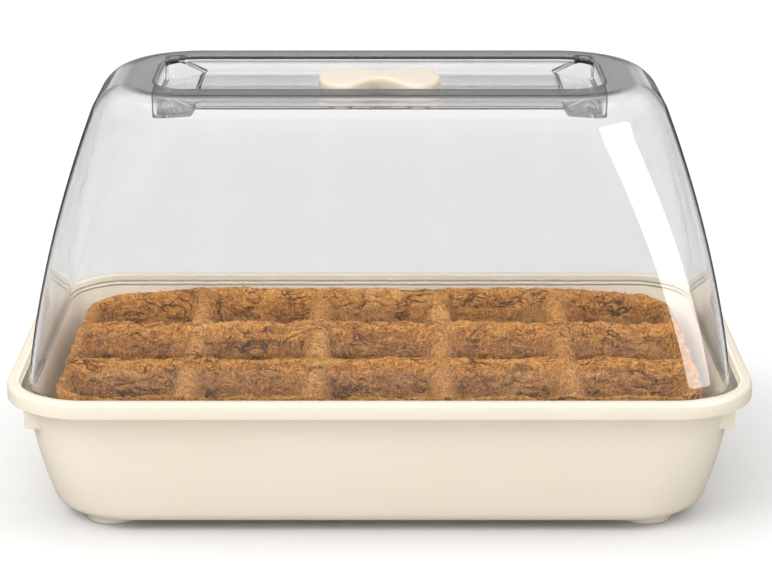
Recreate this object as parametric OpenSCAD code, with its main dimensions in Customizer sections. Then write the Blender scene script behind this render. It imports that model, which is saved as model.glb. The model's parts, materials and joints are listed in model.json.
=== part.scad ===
// Humidity dome tray: a seed tray with a clear lift-off dome, a turning air vent and a sheet of
// coir pots. Millimetres, +Z up, X along the length, Y from front to back, the feet on z = 0.

/* [Tray] */
// Length over the rim
tray_w = 380; // [350:1:420]
// Depth over the rim
tray_d = 240; // [220:1:270]
// Height of the rim above the table
rim_h = 77; // [72:0.5:90]
// Outside corner radius of the rim
rim_corner_r = 44; // [40:0.5:52]
// Width of the flat on top of the rim
rim_top_w = 6; // [5:0.1:8]
// Radius of the rim's upper edge
rim_edge_r = 2; // [1:0.1:2.5]
// Height of the turned-down skirt
skirt_h = 8.5; // [6:0.1:12]
// Thickness of the skirt
skirt_wall = 1.6; // [1.2:0.1:2]
// How far the dome's seat lies below the rim
seat_drop = 5; // [3:0.1:6]
// Width of the dome's seat
seat_w = 5.8; // [5:0.1:8]
// Thickness of the tray's walls and floor
tray_wall = 2.2; // [1.6:0.1:2.8]
// How far the walls draw in from the seat to the base
wall_taper = 12.7; // [8:0.1:16]
// How strongly the walls bow outwards
wall_bow = 0.58; // [0:0.02:0.8]
// Corner radius of the walls at the base
base_corner_r = 41; // [34:0.5:48]
// Radius between the walls and the base
base_edge_r = 6; // [4:0.1:8]

/* [Feet] */
// Height of the feet
foot_h = 5; // [3:0.1:8]
// Radius of a foot at the base
foot_r = 14; // [10:0.1:16]
// How far a foot narrows to the table
foot_draft = 1.6; // [0.5:0.1:3]
// Distance from the ends of the rim to the centre of a foot
foot_inset_x = 52; // [48:0.5:70]
// Distance from the front and back of the rim to the centre of a foot
foot_inset_y = 47; // [44:0.5:60]

/* [Stacking lugs] */
// Width of a lug
lug_w = 12; // [6:0.5:20]
// How far a lug hangs below the skirt
lug_drop = 7; // [4:0.1:10]
// Distance of a lug from the middle of its end
lug_offset = 20; // [10:0.5:40]

/* [Dome] */
// Height of the dome from its seat to the top ring
dome_h = 147.5; // [130:0.5:170]
// Thickness of the dome
dome_wall = 1.8; // [1.4:0.1:2.2]
// Gap between the dome's foot flange and the rim
seat_gap = 1; // [0.5:0.1:1.5]
// Width of the foot flange
flange_w = 4; // [3:0.1:4.5]
// Thickness of the foot flange
flange_h = 2; // [1.5:0.1:2.6]
// How far the walls draw in from the flange to the shoulder
dome_taper = 30; // [24:0.5:34]
// Share of the draw-in that comes towards the shoulder
dome_bow = 0.56; // [0.4:0.02:0.8]
// Radius of the shoulder
shoulder_r = 22.5; // [18:0.5:26]
// Corner radius of the walls at the shoulder
shoulder_corner_r = 54; // [48:0.5:58]

/* [Sunk top] */
// Width of the ring's flat at its ends
ring_end_w = 13; // [10:0.5:20]
// Width of the ring's flat at its front and back
ring_side_w = 17; // [14:0.5:20]
// How far the sunk top lies below the ring
recess_depth = 8.8; // [8.2:0.1:12]
// Corner radius of the sunk top
recess_corner_r = 20; // [16:0.5:24]
// Radius of the ring's inner edge
recess_lip_r = 2; // [1.2:0.1:2.6]
// Length of a finger pocket
pocket_w = 19.2; // [16:0.2:24]
// How far a finger pocket's outer end lies below the sunk top
pocket_drop = 3.9; // [2.5:0.1:5]
// How far a finger pocket's floor rises to its inner end
pocket_slope = 1.6; // [0:0.1:2]
// How far a finger pocket is wider than the sunk top on each side
pocket_step = 6.5; // [2:0.5:8]
// Corner radius of a finger pocket
pocket_corner_r = 4; // [2:0.5:6]
// Slope of a finger pocket's inner end at its upper side
pocket_rake = 12.5; // [8:0.5:14]

/* [Vent] */
// Length of the vent knob
knob_w = 64; // [60:0.5:68]
// Depth of the vent knob over its lobes
knob_d = 50; // [48:0.5:56]
// Depth of the vent knob at its waist
knob_waist = 18; // [16:0.5:20]
// Distance of a lobe's widest place from the middle
lobe_x = 18.3; // [17:0.1:20]
// Height of the knob's edge
knob_h = 6.7; // [6:0.1:7.4]
// How far the middle of the knob stands above its edge
knob_crown = 1.2; // [0.4:0.1:1.4]
// Radius of the knob's upper edge
knob_edge_r = 2; // [1:0.1:2.5]
// Height of the knob's foot, which stands back under its edge
knob_foot_h = 2.8; // [2.6:0.1:3.2]
// How far the knob's foot stands back
knob_foot_in = 0.3; // [0.2:0.1:0.6]
// Gap between the knob or the retainer and the dome
vent_gap = 0.3; // [0.2:0.05:0.5]
// Radius of the stem
stem_r = 5; // [4:0.1:5.5]
// Running clearance of the stem in its bore
stem_clear = 0.06; // [0.02:0.01:0.1]
// Radius of the stem's narrow end
stem_tip_r = 3.5; // [2.5:0.1:3.8]
// Radius of the retainer
retainer_r = 9; // [8:0.1:11]
// Thickness of the retainer
retainer_h = 3; // [2:0.1:4]
// Radius of an air hole
vent_hole_r = 6; // [4:0.1:6.2]
// Distance of an air hole from the stem
vent_hole_x = 20; // [19:0.1:21]
// Radius of the stop peg
peg_r = 1.4; // [1:0.1:1.6]
// Height of the stop peg
peg_h = 1.8; // [1.4:0.1:2]
// Distance of the stop peg from the stem's axis
peg_ring_r = 9; // [8.6:0.1:9.4]
// Clearance round the stop peg in its groove
peg_clear = 0.4; // [0.3:0.05:0.6]
// Angle that the knob turns through
vent_turn = 90; // [60:1:90]

/* [Coir pots] */
// Gap between the sheet of pots and the tray's ends
pot_gap_x = 13.2; // [12:0.1:20]
// Gap between the sheet of pots and the tray's front and back
pot_gap_y = 12.2; // [11.5:0.1:18]
// How far the rims of the pots lie below the dome's seat
pot_below = 0.6; // [0.2:0.1:8]
// How far each side of a pot draws in to the bottom
pot_taper = 9; // [5:0.5:11]
// Thickness of a pot's wall
pot_wall = 4.5; // [3:0.1:6]
// Thickness of a pot's floor
pot_floor = 4; // [3:0.1:6]
// Corner radius of a pot
pot_corner_r = 9; // [7:0.5:11]
// Corner radius of the whole sheet
sheet_corner_r = 25; // [20:0.5:26]

/* [Hidden] */
pot_cols = 5;
pot_rows = 3;
arc_n = 10;
curve_n = 64;
hub_r = 3;
cream = [0.94, 0.90, 0.82];
clear = [0.86, 0.90, 0.92, 0.35];
coir = [0.60, 0.42, 0.25];

seat_z = rim_h - seat_drop;
floor_z = foot_h + tray_wall;
crest_z = seat_z + dome_h;
recess_z = crest_z - recess_depth;
pocket_z = recess_z - pocket_drop;
seat_in = rim_top_w + seat_w;
body_in = seat_in - tray_wall;
riser_in = rim_top_w - tray_wall;
web_z = rim_h - tray_wall;
under_z = seat_z - tray_wall;
edge_a = asin(1 - tray_wall / base_edge_r);
flange_in = rim_top_w + seat_gap;
dome_in = flange_in + flange_w;
shoulder_in = dome_in + dome_taper;
dome_rise = crest_z - rim_h;
shoulder_a = lean(12, 20);
shoulder_z = crest_z - shoulder_r * (1 - sin(shoulder_a));
knob_z = recess_z + vent_gap;
stem_z = recess_z - dome_wall - vent_gap;
stop_a = vent_turn / 2;
crest_in = shoulder_in + shoulder_r * cos(shoulder_a);
recess_w = tray_w - 2 * (crest_in + ring_end_w);
recess_d = tray_d - 2 * (crest_in + ring_side_w);
pot_w = (tray_w - 2 * (seat_in + pot_gap_x)) / pot_cols;
pot_d = (tray_d - 2 * (seat_in + pot_gap_y)) / pot_rows;
pot_h = seat_z - pot_below - floor_z;

function foot_name(x, y) = str("tray_foot_", y < 0 ? "front_" : "back_", x < 0 ? "left" : "right");

function pot_name(r, c) = str("coir_pot_r", r, "_c", c);

// Points of a quarter circle of radius r about (x, y), from angle a on
function arc(x, y, r, a) = [
    for (i = [0:arc_n]) let (b = a + 90 * i / arc_n)
        [x + r * cos(b), y + r * sin(b)]
];

// A rectangle of half sizes x and y with one corner radius for each corner, from +X +Y on
function outline(x, y, r) = concat(
    arc(x - r[0], y - r[0], r[0], 0),
    arc(r[1] - x, y - r[1], r[1], 90),
    arc(r[2] - x, r[2] - y, r[2], 180),
    arc(x - r[3], r[3] - y, r[3], 270)
);

// A rounded loop at height z, inset from the rim's outline, with corner radius r
function ring(z, inset, r) = [
    for (p = outline(tray_w / 2 - inset, tray_d / 2 - inset, [r, r, r, r])) [p[0], p[1], z]
];

// A loop inset from the rim's outline with its corners on the same centres as the rim's
function rim_ring(z, inset) = ring(z, inset, rim_corner_r - inset);

// A loop of the sunk top, grown by g
function top_ring(z, g) = let (r = recess_corner_r + g) [
    for (p = outline(recess_w / 2 + g, recess_d / 2 + g, [r, r, r, r])) [p[0], p[1], z]
];

// A solid through a list of loops, closed by flat ends
module loft(loops) {
    n = len(loops[0]);
    m = len(loops);
    sides = [
        for (k = [0:m - 2], i = [0:n - 1], h = [0:1])
            let (a = k * n + i, b = k * n + (i + 1) % n)
                h == 0 ? [a, b, b + n] : [a, b + n, a + n]
    ];
    ends = [
        [for (i = [n - 1:-1:0]) i],
        [for (i = [0:n - 1]) (m - 1) * n + i]
    ];
    polyhedron(points = [for (l = loops, p = l) p], faces = concat(ends, sides), convexity = 8);
}

// A solid ring through a list of loops, the last one joined to the first
module ring_loft(loops) {
    n = len(loops[0]);
    m = len(loops);
    sides = [
        for (k = [0:m - 1], i = [0:n - 1], h = [0:1])
            let (a = k * n + i, b = k * n + (i + 1) % n, c = (k + 1) % m * n + i, d = (k + 1) % m * n + (i + 1) % n)
                h == 0 ? [a, b, d] : [a, d, c]
    ];
    polyhedron(points = [for (l = loops, p = l) p], faces = sides, convexity = 8);
}

// A flat rounded rectangle
module rounded_plate(x, y, r) {
    polygon(outline(x, y, [r, r, r, r]));
}

// Inset of the tray's outer wall at a share t of the way from the seat to the base
function wall_in(t) = body_in + wall_taper * (t + wall_bow * t * (t - 1));

function wall_r(t) = (rim_corner_r - body_in) * (1 - t) + base_corner_r * t;

function wall_share(z) = (under_z - z) / (under_z - foot_h);

// A loop of the tray's wall at height z, moved in by g
function wall_ring(z, g) = let (t = wall_share(z)) ring(z, wall_in(t) + g, wall_r(t) - g);

// The tray is one moulding, built as a floor, a wall, a rim and feet that meet face to face
// A loop of the rounded base edge: angle a runs from the wall (0) to the underside (90)
function base_ring(a) = let (
    z = foot_h + base_edge_r * (1 - sin(a)),
    s = base_edge_r * (1 - cos(a)),
    t = wall_share(z)
) ring(z, wall_in(t) + s, wall_r(t) - s);

// A loop of the hollow between floor and wall: angle a runs from the floor (0) to the wall (90)
function hollow_ring(a) = let (
    e = base_edge_r - tray_wall,
    z = floor_z + e * (1 - cos(a)),
    s = e * (1 - sin(a)),
    t = wall_share(z)
) ring(z, wall_in(t) + tray_wall + s, wall_r(t) - tray_wall - s);

module tray_floor() {
    turns = 3;
    color(cream)
        loft([for (i = [0:turns]) base_ring(edge_a + (90 - edge_a) * i / turns)]);
}

module tray_wall() {
    turns = 3;
    levels = 5;
    low_z = foot_h + base_edge_r;
    color(cream)
        ring_loft([
            for (i = [0:turns]) hollow_ring(90 * i / turns),
            for (k = [1:levels]) wall_ring(low_z + (under_z - low_z) * k / levels, tray_wall),
            for (k = [levels:-1:1]) wall_ring(low_z + (under_z - low_z) * k / levels, 0),
            for (i = [0:turns]) base_ring(edge_a * i / turns)
        ]);
}

module rim_sweep() {
    ring_loft([
        rim_ring(under_z, seat_in),
        rim_ring(seat_z, seat_in),
        rim_ring(seat_z, rim_top_w),
        for (i = [0:3]) let (a = 30 * i)
            rim_ring(rim_h - 1 + sin(a), rim_top_w - 1 + cos(a)),
        for (i = [0:4]) let (a = 22.5 * i)
            rim_ring(rim_h - rim_edge_r + rim_edge_r * cos(a), rim_edge_r - rim_edge_r * sin(a)),
        rim_ring(rim_h - skirt_h, 0),
        rim_ring(rim_h - skirt_h, skirt_wall),
        rim_ring(web_z, skirt_wall),
        rim_ring(web_z, riser_in),
        rim_ring(under_z, riser_in),
        rim_ring(under_z, body_in)
    ]);
}

module lug() {
    x0 = tray_w / 2 - body_in + 0.05;
    x1 = tray_w / 2 - skirt_wall / 2;
    z0 = rim_h - skirt_h - lug_drop;
    translate([x0, -lug_offset - lug_w / 2, z0])
        cube([x1 - x0, lug_w, seat_z - tray_wall / 2 - z0]);
}

module tray_rim() {
    color(cream) union() {
        rim_sweep();
        for (a = [0, 180])
            rotate([0, 0, a])
                lug();
    }
}

module tray_foot(x, y) {
    color(cream)
        translate([x * (tray_w / 2 - foot_inset_x), y * (tray_d / 2 - foot_inset_y), 0])
            cylinder(r1 = foot_r - foot_draft, r2 = foot_r, h = foot_h, $fn = curve_n);
}

// Inset of the dome's wall at a share t of the way from the seat to the shoulder
function dome_wall_in(t) = dome_in + dome_taper * ((1 - dome_bow) * t + dome_bow * t * t);

function dome_wall_r(t) = (rim_corner_r - dome_in) * (1 - t) + shoulder_corner_r * t;

// A loop of the dome's wall at height z, moved in by g
function dome_ring(z, g) = let (t = max(0, (z - rim_h) / (shoulder_z - rim_h)))
    ring(z, dome_wall_in(t) + g, dome_wall_r(t) - g);

// Lean of the dome's wall where it runs into the shoulder, found by n repeats from a
function lean(n, a) = n == 0 ? a :
    lean(n - 1, atan(dome_taper * (1 + dome_bow) / (dome_rise - shoulder_r * (1 - sin(a)))));

// A loop of the shoulder at a share k of the way from the wall to the ring, g inside the outer face
function shoulder_ring(k, g) = let (
    a = shoulder_a + (90 - shoulder_a) * k,
    s = shoulder_r * cos(shoulder_a) - (shoulder_r - g) * cos(a)
) ring(crest_z - shoulder_r + (shoulder_r - g) * sin(a), shoulder_in + s, shoulder_corner_r - s);

module dome_shell() {
    levels = 9;
    w = dome_wall;
    lip = [
        for (i = [0:4]) let (a = 22.5 * i)
            top_ring(crest_z - recess_lip_r * (1 - sin(a)), recess_lip_r * (1 - cos(a)))
    ];
    shoulder = [for (i = [6:-1:0]) shoulder_ring(i / 6, 0)];
    outer = [for (k = [levels - 1:-1:0]) dome_ring(rim_h + (shoulder_z - rim_h) * k / levels, 0)];
    foot_flange = [
        rim_ring(seat_z + flange_h, dome_in),
        rim_ring(seat_z + flange_h, flange_in),
        rim_ring(seat_z, flange_in),
        rim_ring(seat_z, dome_in + w)
    ];
    inner = [for (k = [0:levels - 1]) dome_ring(rim_h + (shoulder_z - rim_h) * k / levels, w)];
    inner_shoulder = [for (i = [0:6]) shoulder_ring(i / 6, w)];
    sunk_under = [
        top_ring(crest_z - w, recess_lip_r + 0.4),
        top_ring(crest_z - w - 0.9, w),
        top_ring(recess_z - w + 1, w),
        top_ring(recess_z - w, w - 1)
    ];
    loft(concat(lip, shoulder, outer, foot_flange, inner, inner_shoulder, sunk_under));
}

// The hollow of the sunk top
module sunk_top() {
    translate([0, 0, recess_z])
        linear_extrude(height = recess_depth)
            rounded_plate(recess_w / 2 - 0.1, recess_d / 2 - 0.1, recess_corner_r - 0.1);
}

// The hollow of the finger pocket at the +X end, grown by g
module pocket(g) {
    x1 = recess_w / 2 - 1;
    x0 = x1 - pocket_w;
    z1 = crest_z - recess_lip_r - 0.2 + g / 4;
    intersection() {
        translate([0, recess_d, 0])
            rotate([90, 0, 0])
                linear_extrude(height = 2 * recess_d)
                    polygon([
                        [x1 + g, pocket_z - g],
                        [x1 + g, z1],
                        [x0 + pocket_rake - g, z1],
                        [x0 - g, recess_z],
                        [x0 + 2.8 - g, pocket_z + pocket_slope - g]
                    ]);
        translate([0, 0, pocket_z - 2 * g - 1])
            linear_extrude(height = crest_z - pocket_z)
                rounded_plate(x1 + g, recess_d / 2 + pocket_step + g, pocket_corner_r + g);
    }
}

module stop_peg() {
    rotate([0, 0, stop_a])
        translate([peg_ring_r, 0, recess_z - dome_wall / 2])
            cylinder(r = peg_r, h = dome_wall / 2 + peg_h, $fn = curve_n);
}

module dome() {
    color(clear) union() {
        difference() {
            union() {
                dome_shell();
                for (a = [0, 180])
                    rotate([0, 0, a])
                        pocket(dome_wall);
            }
            sunk_top();
            for (a = [0, 180])
                rotate([0, 0, a])
                    pocket(0);
            translate([0, 0, recess_z - 2 * dome_wall])
                cylinder(r = stem_r + stem_clear, h = 4 * dome_wall, $fn = curve_n);
            for (x = [-1, 1])
                translate([x * vent_hole_x, 0, recess_z - 2 * dome_wall])
                    cylinder(r = vent_hole_r, h = 4 * dome_wall, $fn = curve_n);
        }
        stop_peg();
    }
}

// A point of the knob's outline, from the waist (0) over the lobe (1) to the tip (2)
function knob_edge(s) = s < 1 ?
    [lobe_x * s, (knob_d + knob_waist) / 4 - (knob_d - knob_waist) / 4 * cos(180 * s)] :
    [lobe_x + (knob_w / 2 - lobe_x) * sin(90 * (s - 1)), knob_d / 2 * cos(90 * (s - 1))];

// The same point drawn in by e
function knob_point(s, e) = let (
    p = knob_edge(s),
    d = knob_edge(min(2, s + 0.002)) - knob_edge(max(0, s - 0.002)),
    q = d / norm(d)
) [p[0] + e * q[1], p[1] - e * q[0]];

// The whole outline of the knob, drawn in by e
function knob_outline(e) = let (n = 12, q = [for (i = [0:2 * n]) knob_point(i / n, e)]) concat(
    [for (i = [2 * n:-1:0]) [q[i][0], q[i][1]]],
    [for (i = [1:2 * n]) [-q[i][0], q[i][1]]],
    [for (i = [2 * n - 1:-1:0]) [-q[i][0], -q[i][1]]],
    [for (i = [1:2 * n - 1]) [q[i][0], -q[i][1]]]
);

// Height of the knob's crowned top over a point
function crown_z(p) = knob_z + knob_h + knob_crown * (1 - pow(norm(p) / (knob_w / 2), 2));

// A loop of the knob's upper edge at angle a
function knob_edge_ring(a) = [
    for (p = knob_outline(knob_edge_r * (1 - cos(a))))
        [p[0], p[1], crown_z(p) - knob_edge_r * (1 - sin(a))]
];

// A small round loop at height z that the knob's outline runs in to
function knob_hub(z) = [for (p = knob_outline(0)) let (q = p * hub_r / norm(p)) [q[0], q[1], z]];

module knob_plate() {
    top = knob_outline(knob_edge_r);
    base_z = knob_z + knob_foot_h;
    loft(concat(
        [knob_hub(knob_z + knob_h + knob_crown)],
        [for (s = [0.7, 0.85]) [for (p = top) [s * p[0], s * p[1], crown_z(s * p)]]],
        [for (i = [4:-1:0]) knob_edge_ring(22.5 * i)],
        [[for (p = knob_outline(0)) [p[0], p[1], base_z]]],
        [knob_hub(base_z)]
    ));
}

module vent_knob() {
    groove = peg_r + peg_clear;
    groove_a = asin(groove / peg_ring_r);
    color(cream) difference() {
        union() {
            knob_plate();
            translate([0, 0, knob_z])
                linear_extrude(height = knob_foot_h + 0.4)
                    polygon(knob_outline(knob_foot_in));
            translate([0, 0, stem_z])
                cylinder(r = stem_r, h = knob_z - stem_z + knob_h / 2, $fn = curve_n);
            translate([0, 0, stem_z - retainer_h - 0.5])
                cylinder(r = stem_tip_r, h = retainer_h + 1, $fn = curve_n);
        }
        rotate([0, 0, -stop_a - groove_a])
            rotate_extrude(angle = vent_turn + 2 * groove_a, $fn = curve_n)
                translate([peg_ring_r - groove, knob_z - 1])
                    square([2 * groove, peg_h + peg_clear + 1]);
    }
}

module vent_retainer() {
    color(cream) translate([0, 0, stem_z - retainer_h])
        difference() {
            cylinder(r = retainer_r, h = retainer_h, $fn = curve_n);
            translate([0, 0, -1])
                cylinder(r = stem_tip_r, h = retainer_h + 2, $fn = curve_n);
        }
}

// Corner radii of a pot at a share t of its height; the sheet's own four corners are rounder
function pot_radii(r, c, t) = let (
    e = pot_corner_r,
    s = sheet_corner_r * (1 - 0.2 * t),
    x0 = c == 1,
    x1 = c == pot_cols,
    y0 = r == 1,
    y1 = r == pot_rows
) [x1 && y1 ? s : e, x0 && y1 ? s : e, x0 && y0 ? s : e, x1 && y0 ? s : e];

// A loop of a pot at a share t of its height from the rim down, moved in by g
function pot_ring(r, c, t, g) = let (
    x = (c - (pot_cols + 1) / 2) * pot_w,
    y = (r - (pot_rows + 1) / 2) * pot_d,
    q = [for (v = pot_radii(r, c, t)) max(2, v - g)]
) [
    for (p = outline(pot_w / 2 - pot_taper * t - g, pot_d / 2 - pot_taper * t - g, q))
        [x + p[0], y + p[1], floor_z + pot_h * (1 - t)]
];

// Row 1 is the front row and column 1 is at the -X end
module coir_pot(r, c) {
    bottom = 1 - pot_floor / pot_h;
    color(coir) loft([
        pot_ring(r, c, bottom, pot_wall),
        pot_ring(r, c, 0, pot_wall),
        pot_ring(r, c, 0, 0),
        pot_ring(r, c, 1, 0)
    ]);
}

tray_floor();
tray_wall();
tray_rim();
for (x = [-1, 1], y = [-1, 1])
    tray_foot(x, y);
dome();
vent_knob();
vent_retainer();
for (r = [1:pot_rows], c = [1:pot_cols])
    coir_pot(r, c);
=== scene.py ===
import json
import math

import bmesh
import bpy
import numpy as np
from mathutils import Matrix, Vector
from mathutils.kdtree import KDTree

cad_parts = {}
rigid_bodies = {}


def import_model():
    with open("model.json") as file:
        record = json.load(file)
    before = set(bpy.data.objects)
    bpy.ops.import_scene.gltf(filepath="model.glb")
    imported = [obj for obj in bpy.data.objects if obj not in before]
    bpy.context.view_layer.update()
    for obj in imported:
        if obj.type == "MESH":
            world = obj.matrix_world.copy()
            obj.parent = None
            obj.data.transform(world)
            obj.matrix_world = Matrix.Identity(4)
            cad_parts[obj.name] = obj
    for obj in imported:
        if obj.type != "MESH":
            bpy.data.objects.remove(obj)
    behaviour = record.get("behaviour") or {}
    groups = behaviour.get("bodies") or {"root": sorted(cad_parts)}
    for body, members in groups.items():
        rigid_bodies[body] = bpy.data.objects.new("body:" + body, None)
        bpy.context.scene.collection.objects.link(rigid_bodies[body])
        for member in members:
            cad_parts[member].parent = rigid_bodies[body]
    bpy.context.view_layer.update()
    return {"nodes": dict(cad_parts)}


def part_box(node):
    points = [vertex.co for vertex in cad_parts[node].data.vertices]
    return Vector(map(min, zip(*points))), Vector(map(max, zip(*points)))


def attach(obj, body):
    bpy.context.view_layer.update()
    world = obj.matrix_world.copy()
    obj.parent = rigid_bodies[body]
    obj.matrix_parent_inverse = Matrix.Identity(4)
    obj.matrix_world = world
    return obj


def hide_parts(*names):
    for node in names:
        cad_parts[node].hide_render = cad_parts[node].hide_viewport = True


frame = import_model()

MM = 0.001

# Main sizes in millimetres, read from the solids
TRAY_NODES = [name for name in frame["nodes"] if name.startswith("tray")]
tray_low, tray_high = (np.array(corner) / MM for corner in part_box("tray_rim"))
dome_low, dome_high = (np.array(corner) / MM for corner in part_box("dome"))
knob_low, knob_high = (np.array(corner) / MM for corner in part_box("vent_knob"))
pot_low, pot_high = (np.array(corner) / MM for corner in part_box("coir_pot_r2_c3"))
TRAY_W = tray_high[0] - tray_low[0]
TRAY_D = tray_high[1] - tray_low[1]
RIM_H = tray_high[2]
SEAT_Z = dome_low[2]
CREST_Z = dome_high[2]
KNOB_W = knob_high[0] - knob_low[0]
KNOB_D = knob_high[1] - knob_low[1]
STEM_END_Z = knob_low[2]
POT_W = pot_high[0] - pot_low[0]
POT_D = pot_high[1] - pot_low[1]
POT_TOP = pot_high[2]

# Tray
RIM_CORNER_R = 44.0
RIM_TOP_W = 6.0
RIM_EDGE_R = 2.4
RIM_INNER_R = 1.0
SKIRT_H = 8.5
SKIRT_WALL = 1.6
SEAT_W = 5.8
SEAT_FILLET = 0.5
TRAY_WALL = 2.2
WALL_TAPER = 12.7
WALL_BOW = 0.58
WALL_STEPS = 17
BASE_CORNER_R = 41.0
BASE_EDGE_R = 6.0
FOOT_H = 5.0
FOOT_R = 14.0
FOOT_EDGE_R = 1.4
FOOT_END_IN = 52.0
FOOT_SIDE_IN = 47.0
LUG_W = 12.0
LUG_DROP = 7.0
LUG_OFFSET = 20.0
LUG_EDGE = 0.7
LUG_ROOT = 0.5
CORNER_LUG_IN = 10.1
CORNER_LUG_Z = 54.7
CORNER_LUG_EDGE = 0.6
SEAT_IN = RIM_TOP_W + SEAT_W
BODY_IN = SEAT_IN - TRAY_WALL
UNDER_Z = SEAT_Z - TRAY_WALL
FLOOR_Z = FOOT_H + TRAY_WALL
WELD_GAP = 0.01

# Where a corner lug starts and ends, in degrees round the wall's corner
CORNER_LUG_TURNS = (20.0, 38.0)

# Points (outwards, up) of the flare where a foot meets the base
FOOT_FLARE = ((0.8, 0.6), (0.3, -0.4))

# Points (inwards, up) of a small rounded lower edge
SMALL_EDGE = ((0.0, 0.5), (0.15, 0.15), (0.5, 0.0))

# Dome
DOME_WALL = 1.8
FLANGE_IN = (TRAY_W - (dome_high[0] - dome_low[0])) / 2
FLANGE_W = 4.0
FLANGE_H = 2.0
FLANGE_EDGE = 0.4
FLANGE_FILLET_W = 0.7
FLANGE_FILLET_H = 1.0
DOME_IN = FLANGE_IN + FLANGE_W
DOME_TAPER = 30.0
DOME_BOW = 0.56
DOME_STEPS = 25
SHOULDER_R = 22.5
SHOULDER_CORNER_R = 54.0
SHOULDER_STEPS = 15
RING_END_W = 13.0
RING_SIDE_W = 17.0
RECESS_DEPTH = 8.8
RECESS_CORNER_R = 20.0
RECESS_LIP_R = 2.0
RECESS_EDGE_R = 1.2
RECESS_UNDER_R = 2.0
RECESS_CUT_IN = 0.1
POCKET_W = 19.2
POCKET_DROP = 3.9
POCKET_SLOPE = 1.6
POCKET_STEP = 6.5
POCKET_RAKE = 12.5
POCKET_CORNER_R = 4.0
POCKET_END_IN = 1.0
POCKET_TOP_GAP = 0.2
POCKET_FOOT_IN = 2.8
POCKET_EDGE = 0.7
RECESS_Z = CREST_Z - RECESS_DEPTH
POCKET_Z = RECESS_Z - POCKET_DROP
BORE_R = 5.06
AIR_HOLE_R = 6.0
AIR_HOLE_X = 20.0
FIRST_LEAN = 20.0
LEAN_ROUNDS = 12

# How far the cutting shapes reach past what they cut
PAST_CREST = 1.0
PAST_POCKET = 4.0
PAST_WEDGE = 2.0
PAST_HOLE = (3.0, -4.0)

# Points (down, outwards) under the ring, where the shell turns down to the sunk top
UNDER_RING = ((0.0, 2.6), (0.4, 2.0), (1.0, DOME_WALL))


def wall_lean():
    """Lean of the dome's wall where it runs into the shoulder, in radians."""
    lean = math.radians(FIRST_LEAN)
    for _ in range(LEAN_ROUNDS):
        rise = CREST_Z - RIM_H - SHOULDER_R * (1 - math.sin(lean))
        lean = math.atan(DOME_TAPER * (1 + DOME_BOW) / rise)
    return lean


LEAN = wall_lean()
SHOULDER_IN = DOME_IN + DOME_TAPER
SHOULDER_Z = CREST_Z - SHOULDER_R * (1 - math.sin(LEAN))
CREST_IN = SHOULDER_IN + SHOULDER_R * math.cos(LEAN)
RECESS_X = TRAY_W / 2 - CREST_IN - RING_END_W
RECESS_Y = TRAY_D / 2 - CREST_IN - RING_SIDE_W

# Vent knob
KNOB_WAIST = 18.0
LOBE_X = 18.3
KNOB_EDGE_H = 6.7
KNOB_CROWN = 1.2
KNOB_EDGE_R = 2.0
KNOB_GAP = 0.3
KNOB_Z = RECESS_Z + KNOB_GAP
KNOB_STEPS = 30
KNOB_NUDGE = 0.002
KNOB_TOP_SHARES = (0.12, 0.3, 0.5, 0.7, 0.86, 0.95)
KNOB_FOOT_SHARE = 0.3
STEM_R = 5.0
STEM_ROOT = 1.0
STEM_TIP_R = 3.5
STEM_TIP_H = 3.5
STEM_TIP_EDGE = 0.4

# Coir pots
POT_COLS = 5
POT_ROWS = 3
SHEET_HALF = np.array([POT_W * POT_COLS / 2, POT_D * POT_ROWS / 2])
SHEET_CORNER_R = 25.0
SHEET_CORNER_TAPER = 0.2


# Meshes


CORNER_STEPS = 24
LEVEL_NORMAL = 0.9995


def round_edge(r, count, first=0, last=90):
    """How far a rounded edge of radius r lies inside its square corner, along both sides of it."""
    angles = np.radians(np.linspace(first, last, count))
    return [(r * (1 - math.cos(a)), r * (1 - math.sin(a))) for a in angles]


def rounded_outline(half_x, half_y, radii, arc_steps=CORNER_STEPS, side_steps=1):
    """Points round a rectangle with its own radius at each corner, from +X +Y on."""
    points = []
    signs = ((1, 1), (-1, 1), (-1, -1), (1, -1))
    arcs = []
    for k, ((sx, sy), r) in enumerate(zip(signs, radii)):
        angles = np.radians(90 * k + np.linspace(0, 90, arc_steps + 1))
        centre = np.array([sx * (half_x - r), sy * (half_y - r)])
        arcs.append(centre + r * np.stack([np.cos(angles), np.sin(angles)], axis=1))
    for k, arc in enumerate(arcs):
        points.extend(arc)
        ahead = arcs[(k + 1) % 4][0]
        for i in range(1, side_steps):
            points.append(arc[-1] + (ahead - arc[-1]) * i / side_steps)
    return np.array(points)


def level_loop(plan, z):
    """The points of a plan, all at height z."""
    return np.column_stack([plan, np.full(len(plan), z)])


def inset_loop(z, inset, corner_r):
    """A loop at height z, inset from the outline of the tray's rim."""
    return level_loop(rounded_outline(TRAY_W / 2 - inset, TRAY_D / 2 - inset, [corner_r] * 4), z)


def recess_loop(z, more):
    """A loop of the dome's sunk top, made larger all round by some millimetres."""
    return level_loop(rounded_outline(RECESS_X + more, RECESS_Y + more, [RECESS_CORNER_R + more] * 4), z)


def loft(name, loops, close_start=True, close_end=True):
    """A mesh through loops of points in millimetres, in the order inner top, outside, underside."""
    rows, count = len(loops), len(loops[0])
    verts = [tuple(p) for p in np.concatenate(loops) * MM]
    faces = []
    for k in range(rows - 1):
        for i in range(count):
            a, b = k * count + i, k * count + (i + 1) % count
            faces.append((a, a + count, b + count, b))
    for close, k, turn in ((close_start, 0, 1), (close_end, rows - 1, -1)):
        if close:
            verts.append(tuple(loops[k].mean(axis=0) * MM))
            hub = len(verts) - 1
            for i in range(count):
                a, b = k * count + i, k * count + (i + 1) % count
                faces.append((a, b, hub)[::turn])
    mesh = bpy.data.meshes.new(name)
    mesh.from_pydata(verts, [], faces)
    mesh.update()
    return add_object(name, mesh)


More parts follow.
